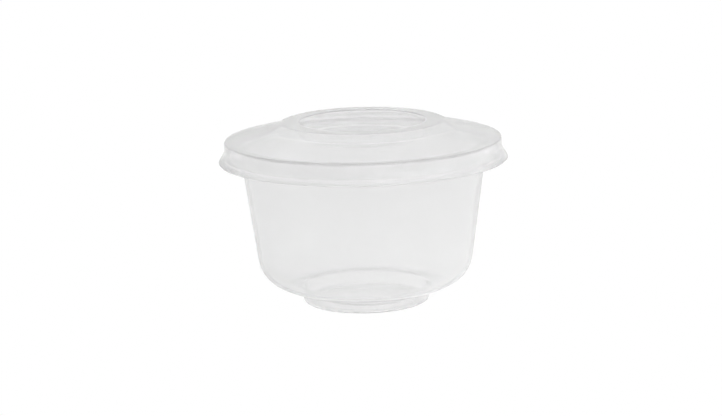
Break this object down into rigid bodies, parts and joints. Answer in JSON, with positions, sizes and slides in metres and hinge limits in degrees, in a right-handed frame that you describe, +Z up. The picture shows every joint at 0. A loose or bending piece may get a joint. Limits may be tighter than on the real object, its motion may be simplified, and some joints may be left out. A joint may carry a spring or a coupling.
{
  "type": "lidded portion cup",
  "caption": "Round translucent plastic portion cup on a foot ring, with a press-on lid that has a raised ring and a stacking well in its middle.",
  "frame": {"origin": "centre of the foot ring, in the plane the cup stands on", "axes": "+Z up along the turning axis, from the foot to the lid; X and Y are free, because the part is round"},
  "size_m": [0.1016, 0.1016, 0.0647],
  "materials": {
    "cup_plastic": "milky translucent polypropylene, smooth satin gloss",
    "lid_plastic": "milky translucent polypropylene, slightly cloudier than the cup"
  },
  "bodies": {
    "root": {"cup": "cup_plastic", "lid": "lid_plastic"}
  },
  "joints": []
}
